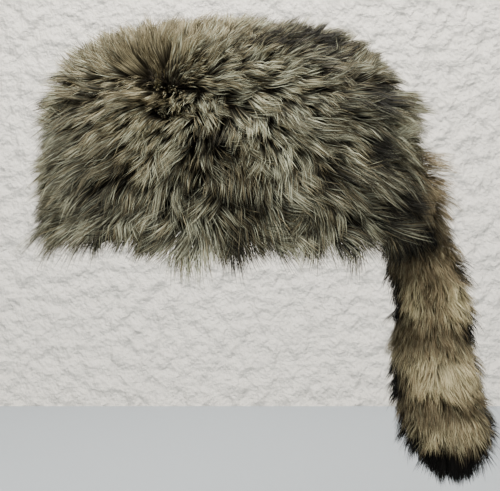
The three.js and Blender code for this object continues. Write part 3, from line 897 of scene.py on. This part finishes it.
def gaps(places, spots, *columns):
    """Distance in millimetres from each place to each spot of a table, by as many of the last coordinates."""
    centres = np.array([spots[column] for column in columns])
    return np.linalg.norm(places[:, -len(columns):, None] / MM - centres, axis=1)


def falling(places, out):
    """Direction of the band's fur: by the flow at the nearest spots, and straight down at front and back."""
    face = places + out * FUR_FACE
    near = (gaps(face, FLOW, "along", "height") ** 2 + FLOW_BLUR**2) ** -FLOW_FALL
    angle = (near * FLOW["angle"]).sum(1) / near.sum(1)
    at_seam = np.clip((places[:, 2] - SEAM_HEIGHT) / SEAM_FLOW_DEPTH + 1, 0, 1)
    angle += (graded(face[:, 1] / MM, SEAM_FLOW) - angle) * at_seam
    angle = np.radians(angle) * np.abs(out[:, 0]) ** FLOW_TURN
    return np.stack([0 * angle, np.sin(angle), -np.cos(angle)], 1)


def patched_and_shaded(places, out, tone, brown):
    """Tone and brown with the patches added, a few of them painted shade and shadow."""
    far = gaps(places + out * FUR_FACE, PATCHES_AND_PAINTED_SHADE, "across", "along", "height")
    near = np.exp(-((far / PATCHES_AND_PAINTED_SHADE["reach"]) ** 2))
    return tone + near @ PATCHES_AND_PAINTED_SHADE["tone"], brown + near @ PATCHES_AND_PAINTED_SHADE["brown"]


def pelt(name, places, out, comb, faces, **attributes):
    """The surface that hair grows on."""
    made = mesh_object(name, places, faces)
    set_attribute(made.data, "out", out)
    set_attribute(made.data, "comb", flattened(comb, out))
    for key, values in attributes.items():
        set_attribute(made.data, key, np.broadcast_to(values, len(places)))
    return made


def band_pelt():
    """The band's pelt. Its fur hangs long and soft at the hem, and stands out where the crown meets it."""
    places, out = surface(band_point, TURNS, BAND_PELT_RINGS, PELT_DEPTH)
    share = np.repeat(BAND_PELT_RINGS, len(TURNS))
    # the hem's lower tone is painted shade, where the fur hangs in shadow, with its darker tips
    tone, brown = patched_and_shaded(places, out, BAND_TONE - graded(share, HEM_PAINTED_SHADE_AND_DARK_TIPS), BAND_BROWN)
    corner = np.where(out[:, 1] > 0, graded(share, BACK_CORNER), graded(share, FRONT_CORNER))
    ends = np.abs(out[:, 1]) ** 2
    parting = near_spot(places[:, 1:], PARTING, WHORL_REACH)
    longer = CORNER_LENGTH * np.maximum(corner - CORNER_START, 0)
    return pelt(
        "band_pelt", places, out, falling(places, out), ring_faces(len(BAND_PELT_RINGS), len(TURNS)),
        lean=(graded(share, BAND_LEAN) - corner * ends) * (1 - PARTING_LEAN * parting),
        hair=BAND_HAIR * (graded(share, BAND_LENGTH) + longer),
        thick=graded(share, BAND_THICK) + PARTING_THICK * parting,
        soft=graded(share, BAND_SOFT) + PARTING_SOFT * parting,
        tone=tone + PARTING_TONE * parting,
        brown=brown + PARTING_BROWN * parting,
    )


def crown_pelt():
    """The crown's pelt. Its fur runs away from the whorl, and falls with the band's at the seam."""
    places, out = surface(crown_point, TURNS, CROWN_PELT_RINGS, PELT_DEPTH)
    out *= -1
    away = np.stack([places[:, 0] - WHORL[0], places[:, 1] - WHORL[1], 0 * places[:, 0]], 1)
    rising = np.clip((places[:, 2] - SHOULDER[0]) / (SHOULDER[1] - SHOULDER[0]), 0, 1)[:, None]
    comb = unit(away) * rising + falling(places, out) * (1 - rising)
    radius = np.repeat(CROWN_PELT_RINGS, len(TURNS))
    tone, brown = patched_and_shaded(places, out, CROWN_TONE, CROWN_BROWN)
    back = np.clip(places[:, 1] / SEAM_HALF[1], 0, 1) ** 2
    front = np.clip(-places[:, 1] / SEAM_HALF[1], 0, 1) ** 2
    trimmed = graded(radius, CROWN_TRIM) * (back + FRONT_TRIM * front)
    whorl = near_spot(places[:, :2], WHORL, WHORL_REACH)
    return pelt(
        "crown_pelt", places, out, comb, ring_faces(len(CROWN_PELT_RINGS), len(TURNS)),
        lean=(graded(radius, CROWN_LEAN) - FRONT_LEAN * front) * (1 - WHORL_LEAN * whorl),
        hair=CROWN_HAIR * (graded(radius, CROWN_LENGTH) - trimmed),
        thick=1 + whorl,
        soft=BRUSHED_SOFT * near_spot(places[:, :2], WHORL, BRUSHED_REACH),
        tone=tone,
        brown=brown,
    )


def marked(places, middles):
    """Tone and brown of the tail, with each mark laid over those before it."""
    turn = np.degrees(np.arctan2(places[:, 1] - middles[:, 1], places[:, 0]))
    height = places[:, 2] / MM
    tone, brown = (np.full(len(places), value) for value in TAIL_TONE)
    for middle, tall, aim, wide, shade, warmth in TAIL_MARKS:
        around = (turn - aim + 180) % 360 - 180
        near = np.exp(-(((height - middle) / tall) ** 4) - np.abs(around / wide) ** 3)
        tone += (shade - tone) * near
        brown += (warmth - brown) * near
    return tone, brown


def tail_pelt():
    """The tail's pelt. Its fur is loose at the top and stands out densely at the tip."""
    places, out = surface(tail_point, TAIL_TURNS, TAIL_PELT_RINGS, TAIL_PELT_DEPTH)
    out *= -1
    share = np.repeat(TAIL_PELT_RINGS, len(TAIL_TURNS))
    places += out * TAIL_FLARE * graded(share, TAIL_FLARES)[:, None]
    middles = np.array([tail_section(level)[0] for level in share])
    tone, brown = marked(places, middles)
    comb = np.tile(TAIL_COMB, (len(places), 1))
    return pelt(
        "tail_pelt", places, out, comb, ring_faces(len(TAIL_PELT_RINGS), len(TAIL_TURNS)),
        lean=graded(share, TAIL_LEAN),
        hair=TAIL_HAIR * graded(share, TAIL_LENGTHS),
        thick=graded(share, TAIL_THICK),
        soft=graded(share, TAIL_SOFT),
        tone=tone,
        brown=brown,
    )


def grown(name, bare, tree, **inputs):
    """What a tree makes on a bare mesh, as a plain mesh piece."""
    growing = bpy.data.objects.new(name + "_growing", bare.data)
    bpy.context.collection.objects.link(growing)
    modifier = growing.modifiers.new("grow", "NODES")
    modifier.node_group = tree
    values = {key.replace("_", " "): value for key, value in inputs.items()}
    for socket in tree.interface.items_tree:
        if socket.in_out == "INPUT" and socket.name in values:
            modifier[socket.identifier] = values[socket.name]
    bpy.context.view_layer.update()
    evaluated = growing.evaluated_get(bpy.context.evaluated_depsgraph_get())
    mesh = bpy.data.meshes.new_from_object(evaluated)
    mesh.name = name
    growing.modifiers.remove(modifier)
    bpy.data.objects.remove(growing)
    made = bpy.data.objects.new(name, mesh)
    bpy.context.collection.objects.link(made)
    return made


def hair_area(pelt_mesh):
    """Area of a pelt, with each face counted by how thick the hair grows on it."""
    thick = [point.value for point in pelt_mesh.attributes["thick"].data]
    return sum(face.area * thick[face.vertices[0]] for face in pelt_mesh.polygons)


def material(name):
    """An empty material and its nodes."""
    made = bpy.data.materials.new(name)
    made.use_nodes = True
    made.node_tree.nodes.clear()
    return made, Nodes(made.node_tree)


def finish_material(nodes, colour, roughness, normal=None, specular=0.5, sheen=0.0):
    """Ends a material in one shader, with what is the same all over set on its own sockets."""
    values = {
        "Base Color": colour, "Roughness": roughness, "Specular IOR Level": specular, "Sheen Weight": sheen,
    }
    if normal is not None:
        values["Normal"] = normal
    shader = nodes.add("ShaderNodeBsdfPrincipled", values=values)
    nodes.add("ShaderNodeOutputMaterial", values={"Surface": shader.outputs["BSDF"]})


def fur_material(name, grey, brown, tip, darkest, lightest, gloss):
    """Colour of hairs by the chart of their columns: grey and brown are ramps from root to tip."""
    made, n = material(name)
    chart = n.add("ShaderNodeUVMap", {"uv_map": "OFBake"}).outputs["UV"]
    split = n.add("ShaderNodeSeparateXYZ", values={"Vector": chart})
    column = n.math("FLOOR", n.math("MULTIPLY", split.outputs["X"], float(KINDS * TONE_STEPS)))
    tipped = n.math("MODULO", column, 2.0)
    is_brown = n.math("MODULO", n.math("FLOOR", n.math("DIVIDE", column, 2.0)), 2.0)
    tone = n.math("DIVIDE", n.math("FLOOR", n.math("DIVIDE", column, float(KINDS))), TONE_STEPS - 1.0)
    chance = n.add("ShaderNodeTexWhiteNoise", {"noise_dimensions": "1D"}, {"W": column}).outputs["Value"]
    along = n.math("MULTIPLY_ADD", n.math("SUBTRACT", chance, 0.5), ROW_CHANCE, split.outputs["Y"])
    colour = n.mix("RGBA", is_brown, n.ramp(along, grey), n.ramp(along, brown))
    shade = n.mix("RGBA", tipped, (1, 1, 1, 1), n.ramp(along, tip))
    light = n.math("MULTIPLY_ADD", tone, lightest - darkest, darkest)
    colour = n.vector("SCALE", n.vector("MULTIPLY", colour, shade), light)
    finish_material(n, colour, 0.5, specular=gloss)
    return made


def underfur_material():
    """Dense dark fur between the hairs."""
    made, n = material("underfur")
    fuzz = n.noise_texture(n.object_place(), 700.0, 4.0)
    colour = n.ramp(fuzz, [(0.3, (0.014, 0.012, 0.009)), (0.75, (0.075, 0.062, 0.044))])
    finish_material(n, colour, 0.9, n.bump(fuzz, 2 * MM, 0.8), specular=0.1)
    return made


def knit(n, along, up):
    """Height of knitted stitches: columns of loops that lean together in pairs."""
    leg = n.math("PINGPONG", n.math("DIVIDE", along, STITCH_WIDTH), 0.5)
    row = n.math("FRACT", n.math("ADD", n.math("DIVIDE", up, STITCH_HEIGHT), leg))
    loop = n.math("SINE", n.math("MULTIPLY", row, math.pi))
    strand = n.math("SINE", n.math("MULTIPLY", leg, 2 * math.pi))
    return n.math("MULTIPLY", loop, n.math("POWER", n.math("MAXIMUM", strand, 0.0), STITCH_ROUNDNESS))


def backing_material():
    """Knitted cloth that the fur is made on: upright columns round the walls, straight ones under the top."""
    made, n = material("knitted_backing")
    place = n.object_place()
    split = n.add("ShaderNodeSeparateXYZ", values={"Vector": place})
    across, along, up = (split.outputs[axis] for axis in "XYZ")
    stretched = n.math("MULTIPLY", across, SEAM_HALF[1] / SEAM_HALF[0])
    round_wall = n.math("MULTIPLY", n.math("ARCTAN2", along, stretched), SEAM_HALF.mean())
    normal = n.add("ShaderNodeNewGeometry").outputs["Normal"]
    facing = n.add("ShaderNodeSeparateXYZ", values={"Vector": normal})
    flat = n.math("GREATER_THAN", n.math("ABSOLUTE", facing.outputs["Z"]), FLAT_CLOTH)
    stitches = n.mix("FLOAT", flat, knit(n, round_wall, up), knit(n, across, along))
    worn = n.noise_texture(place, 45.0, 3.0)
    # The knit's hollows are darker than its loops: painted shade, mixed with wear
    shade = n.math("MULTIPLY_ADD", worn, 0.35, n.math("MULTIPLY", stitches, 0.65))
    colour = n.ramp(shade, [(0.1, (0.09, 0.075, 0.056)), (0.85, (0.36, 0.305, 0.235))])
    finish_material(n, colour, 0.9, n.bump(stitches, 0.5 * MM, 0.9), specular=0.2, sheen=0.3)
    return made


def thread_material():
    """Waxed sewing thread, twisted."""
    made, n = material("sewing_thread")
    values = {"Vector": n.object_place(), "Scale": 1400.0, "Distortion": 1.0}
    twist = n.add("ShaderNodeTexWave", {"bands_direction": "DIAGONAL"}, values).outputs["Fac"]
    # The twist's grooves are darker than its ridges: painted shade
    colour = n.ramp(twist, [(0.0, (0.26, 0.22, 0.16)), (1.0, (0.62, 0.55, 0.42))])
    finish_material(n, colour, 0.6, n.bump(twist, 0.2 * MM, 0.8), specular=0.4)
    return made


def leather_material():
    """Plain tanned leather, grained and stained."""
    made, n = material("tab_leather")
    place = n.object_place()
    grain = n.add("ShaderNodeTexVoronoi", values={"Vector": place, "Scale": 1200.0}).outputs["Distance"]
    colour = n.ramp(n.noise_texture(place, 90.0, 4.0), [(0.3, (0.30, 0.20, 0.11)), (0.7, (0.48, 0.35, 0.21))])
    finish_material(n, colour, 0.6, n.bump(grain, 0.3 * MM, 0.6), specular=0.4)
    return made


def stage_material(name, colour, lumps, depth):
    """Paint in lumps of this many to the metre, clear from behind so that it hides nothing."""
    made, n = material(name)
    relief = n.bump(n.noise_texture(n.object_place(), lumps, 5.0), depth, 1.0)
    values = {"Base Color": (*colour, 1), "Roughness": 0.85, "Specular IOR Level": 0.2, "Normal": relief}
    paint = n.add("ShaderNodeBsdfPrincipled", values=values).outputs["BSDF"]
    clear = n.add("ShaderNodeBsdfTransparent").outputs["BSDF"]
    behind = n.add("ShaderNodeNewGeometry").outputs["Backfacing"]
    sides = n.add("ShaderNodeMixShader", values={0: behind, 1: paint, 2: clear}).outputs["Shader"]
    n.add("ShaderNodeOutputMaterial", values={"Surface": sides})
    return made


def wear(piece, finish):
    """Gives a piece one material in place of those it had."""
    piece.data.materials.clear()
    piece.data.materials.append(finish)


def grow_fur(layers, bare, hairs, node, slot, tree, **inputs):
    """Pieces of hair on a pelt, in place of a solid; layers are (name, seed of the hairs)."""
    density = hairs / hair_area(bare.data)
    for name, seed in layers:
        made = grown(name, bare, tree, Density=density, Hair_Seed=seed, **inputs)
        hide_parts(node)
        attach(made, "root")
    bpy.data.objects.remove(bare)


def build_cap_fur(tree, strand):
    """Hair of the band, in two pieces that share their locks, and of the crown."""
    fur = fur_material("cap_fur", CAP_GREY, CAP_BROWN, CAP_TIP, darkest=0.05, lightest=1.78, gloss=0.12)
    grow_fur(
        [("band_pile", 5), ("band_locks", 6)], band_pelt(), CAP_HAIRS, "band_fur", "cap_fur", tree,
        Strand=strand, Hair_Material=fur, Lock_Seed=12,
    )
    grow_fur(
        [("crown_pile", 8)], crown_pelt(), CAP_HAIRS, "crown_fur", "cap_fur", tree,
        Strand=strand, Hair_Material=fur, Lock_Seed=4,
    )


def build_tail_fur(tree, strand):
    """Hair of the tail, finer and straighter than the cap's."""
    fur = fur_material("tail_fur", TAIL_GREY, TAIL_BROWN, TAIL_TIP, darkest=0.006, lightest=1.48, gloss=0.1)
    grow_fur(
        [("tail_pile", 9)], tail_pelt(), TAIL_HAIRS, "tail", "tail_fur", tree,
        Strand=strand, Hair_Material=fur, Lock_Seed=2, Lock_Spacing=5 * MM, Lock_Turn=0.12, Lock_Curl=0.25,
        Lock_Pull=0.65, Swirl_Turn=0.12, Wave_Height=0.9 * MM, Tone_Spread=0.45, Width=0.5 * MM,
    )


def skin(name, places, faces, finish):
    """A piece of dense fur under the hairs."""
    made = mesh_object(name, places, faces)
    wear(made, finish)
    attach(made, "root")


def cap_skin(name, point, levels, finish):
    """Closed skin of dense fur, from just off the cloth to its outer face."""
    outer, _ = surface(point, TURNS, levels, UNDERFUR_DEPTH)
    inside, _ = surface(point, TURNS, levels[::-1], UNDERFUR_INSIDE)
    faces = ring_faces(2 * len(levels), len(TURNS), closed=True)
    skin(name, np.concatenate([outer, inside]), faces, finish)


def build_underfur():
    """Dark dense fur of the band, the crown and the tail."""
    dark = underfur_material()
    cap_skin("band_underfur", band_point, BAND_UNDERFUR_RINGS, dark)
    cap_skin("crown_underfur", crown_point, CROWN_UNDERFUR_RINGS, dark)
    places, _ = surface(tail_point, TAIL_TURNS, TAIL_UNDERFUR_RINGS, TAIL_UNDERFUR_DEPTH)
    skin("tail_underfur", places, capped_faces(len(TAIL_UNDERFUR_RINGS), len(TAIL_TURNS)), dark)


def build_fur():
    """All hair and underfur."""
    tree = hair_tree()
    strand = strand_mesh()
    build_cap_fur(tree, strand)
    build_tail_fur(tree, strand)
    build_underfur()
    bpy.data.objects.remove(strand)


def sewing_line(height, off):
    """Closed path round the inside of the band."""
    places = [band_point(turn, height / SEAM_HEIGHT, off) for turn in TURNS]
    made = mesh_object("sewing_line", places, [])
    made.data.edges.add(len(places))
    ends = [(i, (i + 1) % len(places)) for i in range(len(places))]
    made.data.edges.foreach_set("vertices", np.array(ends).ravel())
    return made


def dress_cloth():
    """Finishes the cloth and the tab, and sews the rows of stitches."""
    cloth = backing_material()
    wear(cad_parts["crown_panel"], cloth)
    wear(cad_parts["band_panel"], cloth)
    wear(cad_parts["tail_tab"], leather_material())
    tree = sewing_tree()
    stitch = stitch_mesh()
    thread = thread_material()
    for name, height, off in STITCH_ROWS:
        line = sewing_line(height, off)
        made = grown(name, line, tree, Stitch=stitch, Thread=thread)
        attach(made, "root")
        bpy.data.objects.remove(line)
    bpy.data.objects.remove(stitch)


def stage_panel(name, corners, finish):
    """A flat panel of the stage."""
    made = mesh_object(name, corners, [(0, 1, 2, 3)])
    wear(made, finish)


def build_stage():
    """Table and rough pale wall."""
    table_corners = [
        (WALL_PLACE, -STAGE_SIDE, TABLE_HEIGHT),
        (TABLE_NEAR, -STAGE_SIDE, TABLE_HEIGHT),
        (TABLE_NEAR, STAGE_SIDE, TABLE_HEIGHT),
        (WALL_PLACE, STAGE_SIDE, TABLE_HEIGHT),
    ]
    wall_corners = [
        (WALL_PLACE, -STAGE_SIDE, TABLE_HEIGHT),
        (WALL_PLACE, STAGE_SIDE, TABLE_HEIGHT),
        (WALL_PLACE, STAGE_SIDE, WALL_TOP),
        (WALL_PLACE, -STAGE_SIDE, WALL_TOP),
    ]
    stage_panel("table", table_corners, stage_material("table_white", (0.385, 0.42, 0.45), 40.0, 1 * MM))
    stage_panel("wall", wall_corners, stage_material("wall_cream", (0.92, 0.875, 0.785), 42.0, 22 * MM))


def area_light(name, place, aim, size, power, colour):
    """A square soft light that faces its aim."""
    data = bpy.data.lights.new(name, "AREA")
    data.size = size
    data.energy = power
    data.color = colour
    made = bpy.data.objects.new(name, data)
    made.location = place
    across, along, up = np.array(aim) - np.array(place)
    tilt = math.atan2(math.hypot(across, along), -up)
    made.rotation_euler = (tilt, 0, math.atan2(along, across) - math.pi / 2)
    bpy.context.collection.objects.link(made)


def build_lights():
    """Soft lights of the table and an even grey room."""
    for name, place, aim, size, power, colour in LIGHTS:
        area_light(name, place, aim, size, power, colour)
    world = bpy.data.worlds.new("room")
    world.use_nodes = True
    background = world.node_tree.nodes["Background"].inputs
    background["Color"].default_value = ROOM_COLOUR
    background["Strength"].default_value = ROOM_STRENGTH
    bpy.context.scene.world = world


def build_camera():
    """The camera at the photo's viewing angle."""
    data = bpy.data.cameras.new("photo")
    data.lens = CAMERA_LENS
    data.sensor_width = CAMERA_SENSOR
    made = bpy.data.objects.new("photo", data)
    made.location = (CAMERA_DISTANCE, CAMERA_ALONG, CAMERA_HEIGHT)
    made.rotation_euler = (math.radians(90 - CAMERA_PITCH), 0, math.radians(90))
    bpy.context.collection.objects.link(made)
    bpy.context.scene.camera = made


build_fur()
dress_cloth()
build_stage()
build_lights()
build_camera()
